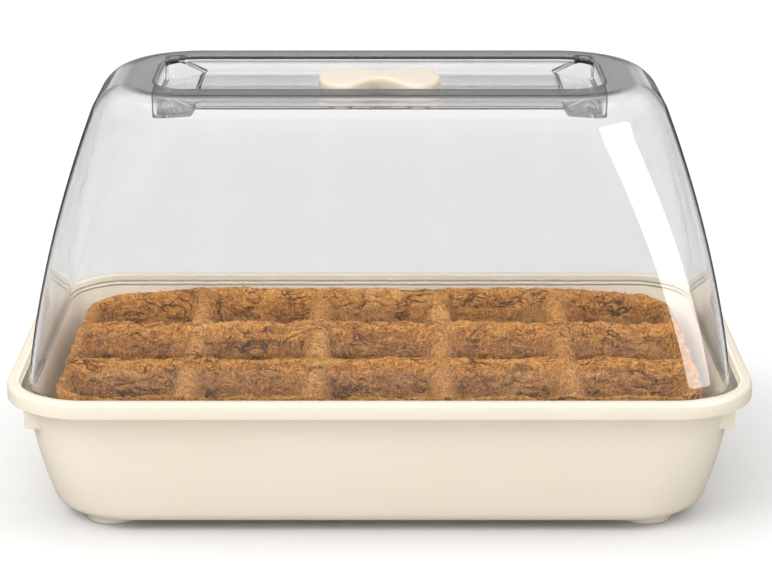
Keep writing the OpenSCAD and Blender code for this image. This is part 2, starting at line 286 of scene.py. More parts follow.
def add_object(name, data):
    obj = bpy.data.objects.new(name, data)
    bpy.context.scene.collection.objects.link(obj)
    return obj


def bake_modifiers(obj):
    """Works the modifiers into the mesh and takes them off."""
    graph = bpy.context.evaluated_depsgraph_get()
    mesh = bpy.data.meshes.new_from_object(obj.evaluated_get(graph))
    mesh.name = obj.name
    old = obj.data
    obj.modifiers.clear()
    obj.data = mesh
    bpy.data.meshes.remove(old)
    return obj


def combine(obj, other, operation):
    """Joins other to obj, or cuts it out, as solids."""
    cut = obj.modifiers.new(operation.lower(), "BOOLEAN")
    cut.operation = operation
    cut.solver = "MANIFOLD"
    cut.object = other
    bake_modifiers(obj)
    drop(other)


def drop(obj):
    mesh = obj.data
    bpy.data.objects.remove(obj)
    bpy.data.meshes.remove(mesh)


def join(obj, others):
    """Adds the meshes of others to obj without cutting them."""
    shell = bmesh.new()
    for source in [obj, *others]:
        shell.from_mesh(source.data)
    shell.to_mesh(obj.data)
    shell.free()
    for other in others:
        drop(other)


def weld(obj):
    """Merges points that meet, and turns all faces outwards."""
    shell = bmesh.new()
    shell.from_mesh(obj.data)
    bmesh.ops.remove_doubles(shell, verts=shell.verts, dist=WELD_GAP * MM)
    bmesh.ops.recalc_face_normals(shell, faces=shell.faces)
    shell.to_mesh(obj.data)
    shell.free()


def bevel(obj, width, segments=3, angle=40):
    edge = obj.modifiers.new("edge", "BEVEL")
    edge.width = width * MM
    edge.segments = segments
    edge.limit_method = "ANGLE"
    edge.angle_limit = math.radians(angle)
    bake_modifiers(obj)


def smooth(obj, angle=32):
    obj.data.shade_smooth()
    obj.data.set_sharp_from_angle(angle=math.radians(angle))


def level_faces_flat(obj):
    """Keeps level faces free of shading from the rounded edges round them."""
    for face in obj.data.polygons:
        if abs(face.normal.z) > LEVEL_NORMAL:
            face.use_smooth = False


def box_piece(name, low, high):
    shell = bmesh.new()
    bmesh.ops.create_cube(shell, size=1)
    low, high = np.array(low), np.array(high)
    for v in shell.verts:
        v.co = Vector((low + (np.array(v.co) + 0.5) * (high - low)) * MM)
    mesh = bpy.data.meshes.new(name)
    shell.to_mesh(mesh)
    shell.free()
    return add_object(name, mesh)


def round_piece(name, x, y, profile, steps=64):
    """A turned solid about a vertical axis: profile is (radius, z) from top to bottom."""
    angles = np.linspace(0, 2 * np.pi, steps, endpoint=False)
    ring = np.stack([np.cos(angles), np.sin(angles)], axis=1)
    return loft(name, [level_loop(r * ring + (x, y), z) for r, z in profile])


def finish_piece(obj, coat, body, slot, *nodes):
    """Gives a piece its only material, ties it to its body and hides its nodes; slot is not used."""
    obj.data.materials.clear()
    obj.data.materials.append(coat)
    obj.data.polygons.foreach_set("material_index", [0] * len(obj.data.polygons))
    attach(obj, body)
    if nodes:
        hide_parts(*nodes)


# Node trees


def feed(tree, made, inputs):
    """Sets a node's inputs: sockets are linked, and anything else is a plain value."""
    for key, value in inputs.items():
        if isinstance(value, bpy.types.NodeSocket):
            tree.links.new(value, made.inputs[key])
        else:
            made.inputs[key].default_value = value


def node(tree, kind, inputs=None, **settings):
    """A node with its settings, its plain values and its links."""
    made = tree.nodes.new(kind)
    for key, value in settings.items():
        setattr(made, key, value)
    feed(tree, made, inputs or {})
    return made


def math_node(tree, operation, a, b):
    return node(tree, "ShaderNodeMath", {0: a, 1: b}, operation=operation).outputs[0]


def times(tree, a, b):
    return math_node(tree, "MULTIPLY", a, b)


def vector_node(tree, operation, a, b):
    return node(tree, "ShaderNodeVectorMath", {0: a, 1: b}, operation=operation).outputs[0]


def scaled_vector(tree, vector, factor):
    return node(tree, "ShaderNodeVectorMath", {0: vector, "Scale": factor}, operation="SCALE").outputs[0]


def noise(tree, vector, scale, detail=3.0, roughness=0.5, distortion=0.0):
    shape = {"Scale": scale, "Detail": detail, "Roughness": roughness, "Distortion": distortion}
    return node(tree, "ShaderNodeTexNoise", {"Vector": vector, **shape}).outputs[0]


def remap(tree, value, low, high, new_low=0.0, new_high=1.0):
    limits = {"From Min": low, "From Max": high, "To Min": new_low, "To Max": new_high}
    return node(tree, "ShaderNodeMapRange", {"Value": value, **limits}).outputs[0]


def height_of(tree, vector):
    return node(tree, "ShaderNodeSeparateXYZ", {0: vector}).outputs[2]


def add_socket(tree, label, way, kind):
    return tree.interface.new_socket(label, in_out=way, socket_type="NodeSocket" + kind)


def geometry_tree(name, sizes):
    """A Geometry Nodes tree with a mesh in, named sizes, a material, and a mesh out."""
    tree = bpy.data.node_groups.new(name, "GeometryNodeTree")
    for label, kind in {"Geometry": "Geometry", **sizes, "Material": "Material"}.items():
        add_socket(tree, label, "INPUT", kind)
    add_socket(tree, "Geometry", "OUTPUT", "Geometry")
    return tree, tree.nodes.new("NodeGroupInput").outputs, tree.nodes.new("NodeGroupOutput")


def close_tree(tree, given, out, geometry):
    """Every tree ends in real geometry that has its material."""
    real = node(tree, "GeometryNodeRealizeInstances", {0: geometry}).outputs[0]
    coat = node(tree, "GeometryNodeSetMaterial", {0: real, "Material": given["Material"]})
    tree.links.new(coat.outputs[0], out.inputs[0])


def grow(obj, tree, values):
    """Runs a tree on an object and leaves a plain mesh."""
    run = obj.modifiers.new(tree.name, "NODES")
    run.node_group = tree
    for item in tree.interface.items_tree:
        if item.in_out == "INPUT" and item.name in values:
            run[item.identifier] = values[item.name]
    return bake_modifiers(obj)


# Materials


def material(name):
    made = bpy.data.materials.new(name)
    made.use_nodes = True
    tree = made.node_tree
    return made, tree, tree.nodes["Principled BSDF"], tree.nodes["Material Output"]


def shader_group(name, inputs, outputs):
    tree = bpy.data.node_groups.new(name, "ShaderNodeTree")
    for label, value in inputs.items():
        add_socket(tree, label, "INPUT", "Float").default_value = value
    for label in outputs:
        add_socket(tree, label, "OUTPUT", "Float")
    return tree, tree.nodes.new("NodeGroupInput").outputs, tree.nodes.new("NodeGroupOutput")


def blend_colour(tree, mask, first, second):
    return node(tree, "ShaderNodeMix", {0: mask, 6: first, 7: second}, data_type="RGBA").outputs[2]


def colour(r, g, b):
    return (r, g, b, 1.0)


def grey(level):
    return colour(level, level, level)


SKIN_SPREAD = (0.3, 0.7)
STREAK_STRETCH = (1.0, 1.0, 6.0)


def moulded_skin():
    """Slow mottling, uneven gloss and fine grain of injection-moulded plastic."""
    scales = {"Mottle Scale": 14.0, "Grain Scale": 2200.0}
    tree, given, out = shader_group("moulded_skin", scales, ("Mottle", "Gloss", "Grain"))
    place = node(tree, "ShaderNodeTexCoord").outputs["Object"]
    mottle = noise(tree, place, given["Mottle Scale"], detail=4.0)
    streaks = noise(tree, vector_node(tree, "MULTIPLY", place, STREAK_STRETCH), scale=30.0)
    grain = noise(tree, place, given["Grain Scale"], detail=2.0)
    results = {"Mottle": remap(tree, mottle, *SKIN_SPREAD), "Gloss": remap(tree, streaks, *SKIN_SPREAD)}
    feed(tree, out, {**results, "Grain": grain})
    return tree


SKIN = moulded_skin()


def hollow_side(tree, start, full):
    """A mask of the walls that look inwards, by how far their plane lies from the middle line, in mm."""
    coords = node(tree, "ShaderNodeTexCoord").outputs
    level = vector_node(tree, "MULTIPLY", coords["Normal"], (1.0, 1.0, 0.0))
    outward = node(tree, "ShaderNodeVectorMath", {0: coords["Object"], 1: level}, operation="DOT_PRODUCT")
    return remap(tree, outward.outputs["Value"], -start * MM, -full * MM)


# Where the painted light on the cream's hollow side starts and where it is full, in mm
CREAM_PAINTED_LIGHT_SPAN = (10.0, 50.0)


def cream_plastic(name, light, warm, inside, gloss, glow, glow_depth):
    """Cream plastic, painted paler on its hollow side as painted light there; glow is how much light wanders
    inside it.
    """
    made, tree, surface, _ = material(name)
    skin = node(tree, "ShaderNodeGroup", node_tree=SKIN).outputs
    mottled = blend_colour(tree, skin["Mottle"], light, warm)
    grain = node(tree, "ShaderNodeBump", {"Strength": 0.05, "Distance": 0.2 * MM, "Height": skin["Grain"]})
    inputs = {
        # The hollow side takes the inside colour: painted light, paler than the cream, where the lamps bring
        # too little
        "Base Color": blend_colour(tree, hollow_side(tree, *CREAM_PAINTED_LIGHT_SPAN), mottled, inside),
        "Roughness": remap(tree, skin["Gloss"], 0.0, 1.0, *gloss),
        "Normal": grain.outputs[0],
        "IOR": 1.49,
        "Subsurface Weight": glow,
        "Subsurface Radius": (1.0, 0.75, 0.5),
        "Subsurface Scale": glow_depth * MM,
    }
    feed(tree, surface, inputs)
    return made


CLEAR_STRAIGHT = colour(0.905, 0.91, 0.913)
# Painted grey reflection for the ring and lip
CLEAR_PAINTED_REFLECTION = colour(0.27, 0.272, 0.272)
# Painted shade for the dome's edges
CLEAR_PAINTED_EDGE_SHADE = grey(0.02)
CLEAR_GLOSS = (0.004, 0.02)

# Where the masks of painted reflection and painted edge shade on the clear plastic start and where they are
# full
RING_HEIGHTS = ((CREST_Z - 2.5) * MM, (CREST_Z - 1.5) * MM)
RING_NORMALS = (0.965, 0.995)
RING_SLANTS = (0.4, 0.72)
LIP_HOLLOW = (4.0, 20.0)
WALL_HEIGHTS = (RIM_H * MM, (RIM_H + 3.0) * MM)
WALL_NORMALS = (0.85, 0.6)
EDGE_SLANTS = (0.69, 0.80)


def tint_with_painted_light(tree):
    """Clear on its walls, with painted grey reflection on its ring and lip, and painted shade where the
    outside turns out of sight.
    """
    slant = node(tree, "ShaderNodeLayerWeight", {"Blend": 0.5}).outputs["Facing"]
    coords = node(tree, "ShaderNodeTexCoord").outputs
    height = height_of(tree, coords["Object"])
    upward = height_of(tree, coords["Normal"])
    above = remap(tree, height, *RING_HEIGHTS)
    flat_top = times(tree, above, remap(tree, upward, *RING_NORMALS))
    on_ring = times(tree, flat_top, remap(tree, slant, *RING_SLANTS))
    hollow = hollow_side(tree, *LIP_HOLLOW)
    on_lip = times(tree, above, hollow)
    on_wall = times(tree, remap(tree, height, *WALL_HEIGHTS), remap(tree, upward, *WALL_NORMALS))
    on_outside = times(tree, on_wall, math_node(tree, "SUBTRACT", 1.0, hollow))
    # Painted shade: the outer walls are painted dark where they turn out of sight, for the dark lines at the
    # dome's edges
    painted_edge_shade_mask = times(tree, on_outside, remap(tree, slant, *EDGE_SLANTS))
    # Painted reflection: the ring's flat top seen aslant and the lip are painted grey, for the dark room
    # mirrored there
    painted_reflection_mask = math_node(tree, "MAXIMUM", on_ring, on_lip)
    with_painted_reflection = blend_colour(tree, painted_reflection_mask, CLEAR_STRAIGHT, CLEAR_PAINTED_REFLECTION)
    return blend_colour(tree, painted_edge_shade_mask, with_painted_reflection, CLEAR_PAINTED_EDGE_SHADE)


def clear_plastic():
    """Clear polystyrene with faint moulding waves; light that falls through it isn't blocked."""
    made, tree, surface, out = material("clear_dome_plastic")
    scales = {"Mottle Scale": 22.0, "Grain Scale": 160.0}
    skin = node(tree, "ShaderNodeGroup", scales, node_tree=SKIN).outputs
    waves = node(tree, "ShaderNodeBump", {"Strength": 0.06, "Distance": 0.6 * MM, "Height": skin["Mottle"]})
    inputs = {
        "Base Color": tint_with_painted_light(tree),
        "Transmission Weight": 1.0,
        "IOR": 1.5,
        "Roughness": remap(tree, skin["Gloss"], 0.0, 1.0, *CLEAR_GLOSS),
        "Normal": waves.outputs[0],
    }
    feed(tree, surface, inputs)
    through = node(tree, "ShaderNodeBsdfTransparent", {"Color": grey(0.985)}).outputs[0]
    in_shadow = node(tree, "ShaderNodeLightPath").outputs["Is Shadow Ray"]
    choice = node(tree, "ShaderNodeMixShader", {0: in_shadow, 1: surface.outputs[0], 2: through})
    tree.links.new(choice.outputs[0], out.inputs["Surface"])
    return made


# Cracks in the coir, the same in its colour and in its relief
CRACK_SCALE = 62.0
CRACK_STRETCH = (0.3, 1.0, 1.5)
CRACK_SWIRL = 0.02
CRACK_PATCH_SCALE = 46.0
CRACK_PATCHES = (0.48, 0.62)

# Colour of the cracks, painted shade in real cracks: how wide they are in their cells, how dark, and the
# finer ones
LONG_CRACK = (0.0, 0.055, 0.95, 0.0)
FINE_CRACK = (0.0, 0.07, 0.85, 0.0)
FINE_TIMES = 2.6
FINE_PATCH_SCALE = 85.0
FINE_PATCHES = (0.5, 0.6)

# Strands lie in three directions, each with its own stretch and turn
STRAND_STRETCHES = ((0.16, 1.0, 1.0), (1.0, 0.2, 0.8), (0.7, 1.0, 0.2))
STRAND_TURN = (0.5, 0.9, 0.7)
STRAND_SWIRL = 0.006
SPECK_LIMITS = (0.57, 0.67)


def swirl_noise(tree, place):
    return node(tree, "ShaderNodeTexNoise", {"Vector": place, "Scale": 70.0, "Detail": 2.0}).outputs["Color"]


def swirled(tree, place, swirl, reach):
    return vector_node(tree, "ADD", place, scaled_vector(tree, swirl, reach))


def crack_place(tree, place, swirl):
    return vector_node(tree, "MULTIPLY", swirled(tree, place, swirl, CRACK_SWIRL), CRACK_STRETCH)


def crack_cells(tree, place, scale):
    inputs = {"Vector": place, "Scale": scale}
    return node(tree, "ShaderNodeTexVoronoi", inputs, feature="DISTANCE_TO_EDGE").outputs["Distance"]


def patchy(tree, value, place, scale, limits):
    """A value that shows only in patches."""
    return times(tree, value, remap(tree, noise(tree, place, scale), *limits))


def strand_layers(tree, place, scale):
    """The highest of several layers of stretched noise."""
    highest = None
    for k, stretch in enumerate(STRAND_STRETCHES):
        turn = tuple(k * angle for angle in STRAND_TURN)
        turned = node(tree, "ShaderNodeMapping", {"Vector": place, "Rotation": turn, "Scale": stretch})
        layer = noise(tree, turned.outputs[0], scale, detail=5.0, roughness=0.62)
        highest = layer if highest is None else math_node(tree, "MAXIMUM", highest, layer)
    return highest


def felt_texture():
    """Tangled coconut fibre: strands in several directions, cracks that take painted shade, and pale worn
    patches.
    """
    scales = {"Strand Scale": 900.0, "Crack Scale": CRACK_SCALE}
    tree, given, out = shader_group("felt_texture", scales, ("Strands", "Cracks", "Patches", "Specks"))
    place = node(tree, "ShaderNodeTexCoord").outputs["Object"]
    swirl = swirl_noise(tree, place)
    long_scale = given["Crack Scale"]
    flat = crack_place(tree, place, swirl)
    long_cells = crack_cells(tree, flat, long_scale)
    long_cracks = patchy(tree, remap(tree, long_cells, *LONG_CRACK), place, CRACK_PATCH_SCALE, CRACK_PATCHES)
    fine_cells = crack_cells(tree, flat, times(tree, long_scale, FINE_TIMES))
    fine_cracks = patchy(tree, remap(tree, fine_cells, *FINE_CRACK), place, FINE_PATCH_SCALE, FINE_PATCHES)
    bent = swirled(tree, place, swirl, STRAND_SWIRL)
    results = {
        "Strands": strand_layers(tree, bent, given["Strand Scale"]),
        "Cracks": math_node(tree, "MAXIMUM", long_cracks, fine_cracks),
        "Patches": noise(tree, place, scale=24.0, detail=4.0),
        "Specks": remap(tree, noise(tree, place, scale=850.0, roughness=0.6), *SPECK_LIMITS),
    }
    feed(tree, out, results)
    return tree


FELT = felt_texture()
# The dark of the specks, also used as painted shade in the hollows and cracks
COIR_DARK = colour(0.09, 0.03, 0.008)
COIR_BROWN = colour(0.42, 0.165, 0.04)
COIR_TAN = colour(1.0, 0.485, 0.125)
COIR_PALE = colour(0.98, 0.59, 0.22)
COIR_WEAVE = (0.49, 0.66)
COIR_WORN = (0.52, 0.72, 0.0, 0.55)
COIR_SPECKS = 0.55
COIR_PAINTED_SHADE_REACH = 22.0
COIR_PAINTED_HOLLOW_SHADE = 0.42
COIR_GLOSS = (0.4, 0.7, 0.98, 0.86)
LOOSE_SHADE = (0.45, 0.75, 0.35, 0.0)
LOOSE_GLOSS = (0.4, 0.7, 0.8, 0.6)


def coir_felt():
    """Brown felt of tan strands, paler where worn and darker in its specks, with painted shade deep in its
    hollows and in its cracks.
    """
    made, tree, surface, _ = material("pressed_coir")
    felt = node(tree, "ShaderNodeGroup", node_tree=FELT).outputs
    weave = blend_colour(tree, remap(tree, felt["Strands"], *COIR_WEAVE), COIR_BROWN, COIR_TAN)
    worn = blend_colour(tree, remap(tree, felt["Patches"], *COIR_WORN), weave, COIR_PALE)
    speckled = blend_colour(tree, times(tree, felt["Specks"], COIR_SPECKS), worn, COIR_DARK)
    # Painted shade: the felt is painted darker the deeper it lies in a pot's hollow
    height = height_of(tree, node(tree, "ShaderNodeTexCoord").outputs["Object"])
    low = (POT_TOP - COIR_PAINTED_SHADE_REACH) * MM
    hollow = remap(tree, height, POT_TOP * MM, low, 0.0, COIR_PAINTED_HOLLOW_SHADE)
    with_painted_hollow_shade = blend_colour(tree, hollow, speckled, COIR_DARK)
    raised = math_node(tree, "SUBTRACT", felt["Strands"], felt["Cracks"])
    relief = node(tree, "ShaderNodeBump", {"Strength": 0.95, "Distance": 1.4 * MM, "Height": raised})
    inputs = {
        # The cracks are real and cut into the relief too; their dark colour is painted shade
        "Base Color": blend_colour(tree, felt["Cracks"], with_painted_hollow_shade, COIR_DARK),
        "Roughness": remap(tree, felt["Strands"], *COIR_GLOSS),
        "Specular IOR Level": 0.2,
        "Normal": relief.outputs[0],
    }
    feed(tree, surface, inputs)
    return made


def coir_strand():
    """Loose strands: each takes its own tone between dark bark and pale straw."""
    made, tree, surface, _ = material("coir_strand")
    tone = node(tree, "ShaderNodeAttribute", attribute_name="tone").outputs["Fac"]
    strands = node(tree, "ShaderNodeGroup", {"Strand Scale": 700.0}, node_tree=FELT).outputs["Strands"]
    lit = blend_colour(tree, tone, COIR_BROWN, COIR_PALE)
    inputs = {
        "Base Color": blend_colour(tree, remap(tree, strands, *LOOSE_SHADE), lit, COIR_DARK),
        "Roughness": remap(tree, strands, *LOOSE_GLOSS),
    }
    feed(tree, surface, inputs)
    return made


TRAY_CREAM = cream_plastic(
    "tray_cream",
    light=colour(0.68, 0.615, 0.513),
    warm=colour(0.665, 0.598, 0.49),
    # inside: painted light, a paler cream for the tray's hollow side
    inside=colour(0.96, 0.87, 0.73),
    gloss=(0.36, 0.46),
    glow=0.12,
    glow_depth=4.0,
)
# The knob's cream is the tray's plastic painted darker: painted shade that offsets the strong light on its
# top
KNOB_CREAM_PAINTED_DARKER = cream_plastic(
    "knob_cream",
    light=colour(0.58, 0.525, 0.435),
    warm=colour(0.565, 0.51, 0.42),
    inside=colour(0.58, 0.525, 0.435),
    gloss=(0.42, 0.52),
    glow=0.6,
    glow_depth=12.0,
)
CLEAR = clear_plastic()
COIR = coir_felt()
STRAND = coir_strand()


# Tray


def wall_inset(t):
    """Inset of the tray's outer wall from the seat (0) to the base (1)."""
    return BODY_IN + WALL_TAPER * (t + WALL_BOW * t * (t - 1))


def wall_corner(t):
    return (RIM_CORNER_R - BODY_IN) * (1 - t) + BASE_CORNER_R * t


def wall_share(z):
    return (UNDER_Z - z) / (UNDER_Z - FOOT_H)


def wall_loop(z, thick, round_in=0.0):
    t = wall_share(z)
    return inset_loop(z, wall_inset(t) + thick + round_in, wall_corner(t) - thick - round_in)


def tray_body():
    """The tray's floor and walls, inside and out, open where the rim joins."""
    inner_r = BASE_EDGE_R - TRAY_WALL
    loops = [wall_loop(FLOOR_Z + up, TRAY_WALL, inwards) for up, inwards in round_edge(inner_r, 9)]
    loops += [wall_loop(z, TRAY_WALL) for z in np.linspace(FLOOR_Z + inner_r, UNDER_Z, WALL_STEPS)[1:]]
    loops.append(inset_loop(SEAT_Z, SEAT_IN, RIM_CORNER_R - SEAT_IN))
    inside = loft("tray_inside", loops, close_end=False)
    loops = [wall_loop(z, 0.0) for z in np.linspace(UNDER_Z, FOOT_H + BASE_EDGE_R, WALL_STEPS)]
    loops += [wall_loop(FOOT_H + up, 0.0, inwards) for inwards, up in round_edge(BASE_EDGE_R, 9)[1:]]
    outside = loft("tray_outside", loops, close_start=False)
    return inside, outside


def rim_profile():
    """Points (inset, z) over the rim from the seat's inner edge to the top of the outer wall."""
    points = [(SEAT_IN, SEAT_Z), (RIM_TOP_W + SEAT_FILLET, SEAT_Z), (RIM_TOP_W, SEAT_Z + SEAT_FILLET)]
    points += [(RIM_TOP_W - out, RIM_H - down) for out, down in round_edge(RIM_INNER_R, 6)]
    points += [(inset, RIM_H - down) for inset, down in round_edge(RIM_EDGE_R, 8, 90, 0)]
    skirt_low = RIM_H - SKIRT_H
    points += [(inset, skirt_low + up) for inset, up in SMALL_EDGE]
    web_z = RIM_H - TRAY_WALL
    web_in = RIM_TOP_W - TRAY_WALL
    points += [(SKIRT_WALL, skirt_low), (SKIRT_WALL, web_z)]
    points += [(web_in, web_z), (web_in, UNDER_Z), (BODY_IN, UNDER_Z)]
    return points


def rim_sweep_tree():
    """Sweeps a profile round a rounded rectangle."""
    sizes = {"Length": "Float", "Depth": "Float", "Corner Radius": "Float"}
    tree, given, out = geometry_tree("rim_sweep", sizes)
    frame_size = {"Width": given["Length"], "Height": given["Depth"]}
    path = node(tree, "GeometryNodeCurvePrimitiveQuadrilateral", frame_size).outputs[0]
    corners = {0: path, "Radius": given["Corner Radius"], "Count": CORNER_STEPS}
    rounded = node(tree, "GeometryNodeFilletCurve", corners, mode="POLY").outputs[0]
    profile = node(tree, "GeometryNodeMeshToCurve", {0: given["Geometry"]}).outputs[0]
    swept = node(tree, "GeometryNodeCurveToMesh", {0: rounded, 1: profile})
    close_tree(tree, given, out, swept.outputs[0])
    return tree


def tray_rim():
    mesh = bpy.data.meshes.new("tray_rim")
    points = [(-inset * MM, -z * MM, 0.0) for inset, z in rim_profile()]
    mesh.from_pydata(points, [(i, i + 1) for i in range(len(points) - 1)], [])
    sizes = {"Length": TRAY_W * MM, "Depth": TRAY_D * MM, "Corner Radius": RIM_CORNER_R * MM}
    return grow(add_object("tray_rim", mesh), rim_sweep_tree(), {**sizes, "Material": TRAY_CREAM})


def tray_foot(sx, sy):
    profile = [(FOOT_R + out, FOOT_H + up) for out, up in FOOT_FLARE]
    profile += [(FOOT_R - inwards, up) for inwards, up in round_edge(FOOT_EDGE_R, 7)]
    return round_piece("foot", sx * (TRAY_W / 2 - FOOT_END_IN), sy * (TRAY_D / 2 - FOOT_SIDE_IN), profile)


def tray_lug(side):
    """A stacking lug under the rim at one end of the tray."""
    x0 = TRAY_W / 2 - BODY_IN - TRAY_WALL / 2
    x1 = TRAY_W / 2 - SKIRT_WALL / 2
    z0 = RIM_H - SKIRT_H - LUG_DROP
    y0 = -LUG_OFFSET - LUG_W / 2
    corners = np.array([[x0, y0, z0], [x1, y0 + LUG_W, UNDER_Z + LUG_ROOT]])
    corners[:, :2] *= side
    lug = box_piece("lug", corners.min(axis=0), corners.max(axis=0))
    bevel(lug, LUG_EDGE)
    return lug


def corner_lug(sx, sy):
    """A small lug under the rim near a corner, rooted in the middle of the wall."""
    angles = np.radians(CORNER_LUG_TURNS)
    loops = []
    for z in (UNDER_Z + LUG_ROOT, CORNER_LUG_Z):
        t = wall_share(z)
        r = wall_corner(t)
        middle = np.array([TRAY_W, TRAY_D]) / 2 - wall_inset(t) - r
        root = middle + (r - TRAY_WALL / 2) * np.stack([np.cos(angles), np.sin(angles)], axis=1)
        face = [(TRAY_W / 2 - CORNER_LUG_IN, y) for _, y in root]
        loops.append(level_loop(np.array([*root[::-1], *face]) * (sx, sy), z))
    lug = loft("corner_lug", loops)
    weld(lug)
    bevel(lug, CORNER_LUG_EDGE)
    return lug


def open_vertices(obj):
    shell = bmesh.new()
    shell.from_mesh(obj.data)
    found = sorted({v.index for e in shell.edges if e.is_boundary for v in e.verts})
    shell.free()
    return found


def snap_open_edges(obj, targets):
    """Moves the open edges of obj onto the nearest open edges of the targets, point to point."""
    places = [target.data.vertices[i].co for target in targets for i in open_vertices(target)]
    goals = KDTree(len(places))
    for k, place in enumerate(places):
        goals.insert(place, k)
    goals.balance()
    for i in open_vertices(obj):
        obj.data.vertices[i].co = goals.find(obj.data.vertices[i].co)[0]


def make_tray():
    inside, outside = tray_body()
    rim = tray_rim()
    feet = [tray_foot(sx, sy) for sx in (-1, 1) for sy in (-1, 1)]
    lugs = [tray_lug(side) for side in (-1, 1)]
    lugs += [corner_lug(sx, sy) for sx in (-1, 1) for sy in (-1, 1)]
    snap_open_edges(rim, [inside, outside])
    join(inside, [outside, rim])
    weld(inside)
    join(inside, feet + lugs)
    inside.name = "moulded_tray"
    smooth(inside)
    finish_piece(inside, TRAY_CREAM, "tray", "cream_plastic", *TRAY_NODES)


# Dome


def dome_loop(z, thick):
    t = max(0.0, (z - RIM_H) / (SHOULDER_Z - RIM_H))
    inset = DOME_IN + DOME_TAPER * ((1 - DOME_BOW) * t + DOME_BOW * t * t)
    corner = (RIM_CORNER_R - DOME_IN) * (1 - t) + SHOULDER_CORNER_R * t
    return inset_loop(z, inset + thick, corner - thick)


def shoulder_loop(share, thick):
    a = LEAN + (math.pi / 2 - LEAN) * share
    run = SHOULDER_R * math.cos(LEAN) - (SHOULDER_R - thick) * math.cos(a)
    z = CREST_Z - SHOULDER_R + (SHOULDER_R - thick) * math.sin(a)
    return inset_loop(z, SHOULDER_IN + run, SHOULDER_CORNER_R - run)


def flange_loops():
    """The small flange at the dome's foot, from its top to the inner edge of its underside."""
    points = (
        (FLANGE_H + FLANGE_FILLET_H, DOME_IN),
        (FLANGE_H, DOME_IN - FLANGE_FILLET_W),
        (FLANGE_H, FLANGE_IN + FLANGE_EDGE),
        (FLANGE_H - FLANGE_EDGE, FLANGE_IN),
        (0.0, FLANGE_IN),
        (0.0, DOME_IN + DOME_WALL),
    )
    return [inset_loop(SEAT_Z + up, inset, RIM_CORNER_R - inset) for up, inset in points]


def dome_blank():
    """The dome's shell before its top is sunk, with a thick middle under the sunk part."""
    wall = DOME_WALL
    loops = [recess_loop(CREST_Z - down, more) for more, down in round_edge(RECESS_LIP_R, 7)]
    loops += [shoulder_loop(k, 0.0) for k in np.linspace(1, 0, SHOULDER_STEPS)]
    loops += [dome_loop(z, 0.0) for z in np.linspace(SHOULDER_Z, RIM_H, DOME_STEPS)[1:]]
    loops += flange_loops()
    inner_top = SHOULDER_Z - wall * math.sin(LEAN)
    loops += [dome_loop(z, wall) for z in np.linspace(RIM_H, inner_top, DOME_STEPS)[:-1]]
    loops += [shoulder_loop(k, wall) for k in np.linspace(0, 1, SHOULDER_STEPS)]
    loops += [recess_loop(CREST_Z - wall - down, more) for down, more in UNDER_RING]
    under = round_edge(RECESS_UNDER_R, 6)
    loops += [recess_loop(RECESS_Z - wall + up, wall - inwards) for inwards, up in under]
    return loft("clear_dome", loops)


def sunk_top():
    """The hollow of the sunk top, rounded where its walls meet its floor."""
    loops = [recess_loop(CREST_Z + PAST_CREST, -RECESS_CUT_IN)]
    for inwards, up in round_edge(RECESS_EDGE_R, 6):
        loops.append(recess_loop(RECESS_Z + up, -RECESS_CUT_IN - inwards))
    return loft("sunk_top", loops)


def pocket(side, grow_by):
    """The hollow of a finger pocket, or with its wall grown on."""
    x1 = RECESS_X - POCKET_END_IN + grow_by
    x0 = RECESS_X - POCKET_END_IN - POCKET_W - grow_by
    z1 = CREST_Z - RECESS_LIP_R - POCKET_TOP_GAP + grow_by / 4
    half_y = RECESS_Y + POCKET_STEP + grow_by
    outline = rounded_outline(x1, half_y, [POCKET_CORNER_R + grow_by] * 4)
    plan = loft("pocket", [level_loop(outline, z) for z in (CREST_Z, POCKET_Z - PAST_POCKET)])
    section = (
        (x1 + PAST_WEDGE, POCKET_Z - grow_by),
        (x1 + PAST_WEDGE, z1),
        (x0 + POCKET_RAKE, z1),
        (x0, RECESS_Z),
        (x0 + POCKET_FOOT_IN, POCKET_Z + POCKET_SLOPE - grow_by),
    )
    ends = (-half_y - PAST_POCKET, half_y + PAST_POCKET)
    wedge = loft("wedge", [np.array([[x, y, z] for x, z in section]) for y in ends])
    combine(plan, wedge, "INTERSECT")
    if side < 0:
        for v in plan.data.vertices:
            v.co.x, v.co.y = -v.co.x, -v.co.y
    bevel(plan, POCKET_EDGE, segments=2, angle=25)
    return plan


def make_dome():
    dome = dome_blank()
    for side in (-1, 1):
        combine(dome, pocket(side, DOME_WALL), "UNION")
    combine(dome, sunk_top(), "DIFFERENCE")
    for side in (-1, 1):
        combine(dome, pocket(side, 0.0), "DIFFERENCE")
    for x, r in ((0.0, BORE_R), (-AIR_HOLE_X, AIR_HOLE_R), (AIR_HOLE_X, AIR_HOLE_R)):
        hole = round_piece("hole", x, 0.0, [(r, RECESS_Z + past) for past in PAST_HOLE], steps=96)
        combine(dome, hole, "DIFFERENCE")
    smooth(dome, angle=28)
    level_faces_flat(dome)
    finish_piece(dome, CLEAR, "dome", "clear_plastic", "dome")


# Vent


def knob_edge(s):
    """A point of the knob's outline, from the waist (0) over the lobe (1) to the tip (2)."""
    if s < 1:
        swing = (KNOB_D - KNOB_WAIST) / 4 * math.cos(math.pi * s)
        return np.array([LOBE_X * s, (KNOB_D + KNOB_WAIST) / 4 - swing])
    a = math.pi / 2 * (s - 1)
    return np.array([LOBE_X + (KNOB_W / 2 - LOBE_X) * math.sin(a), KNOB_D / 2 * math.cos(a)])


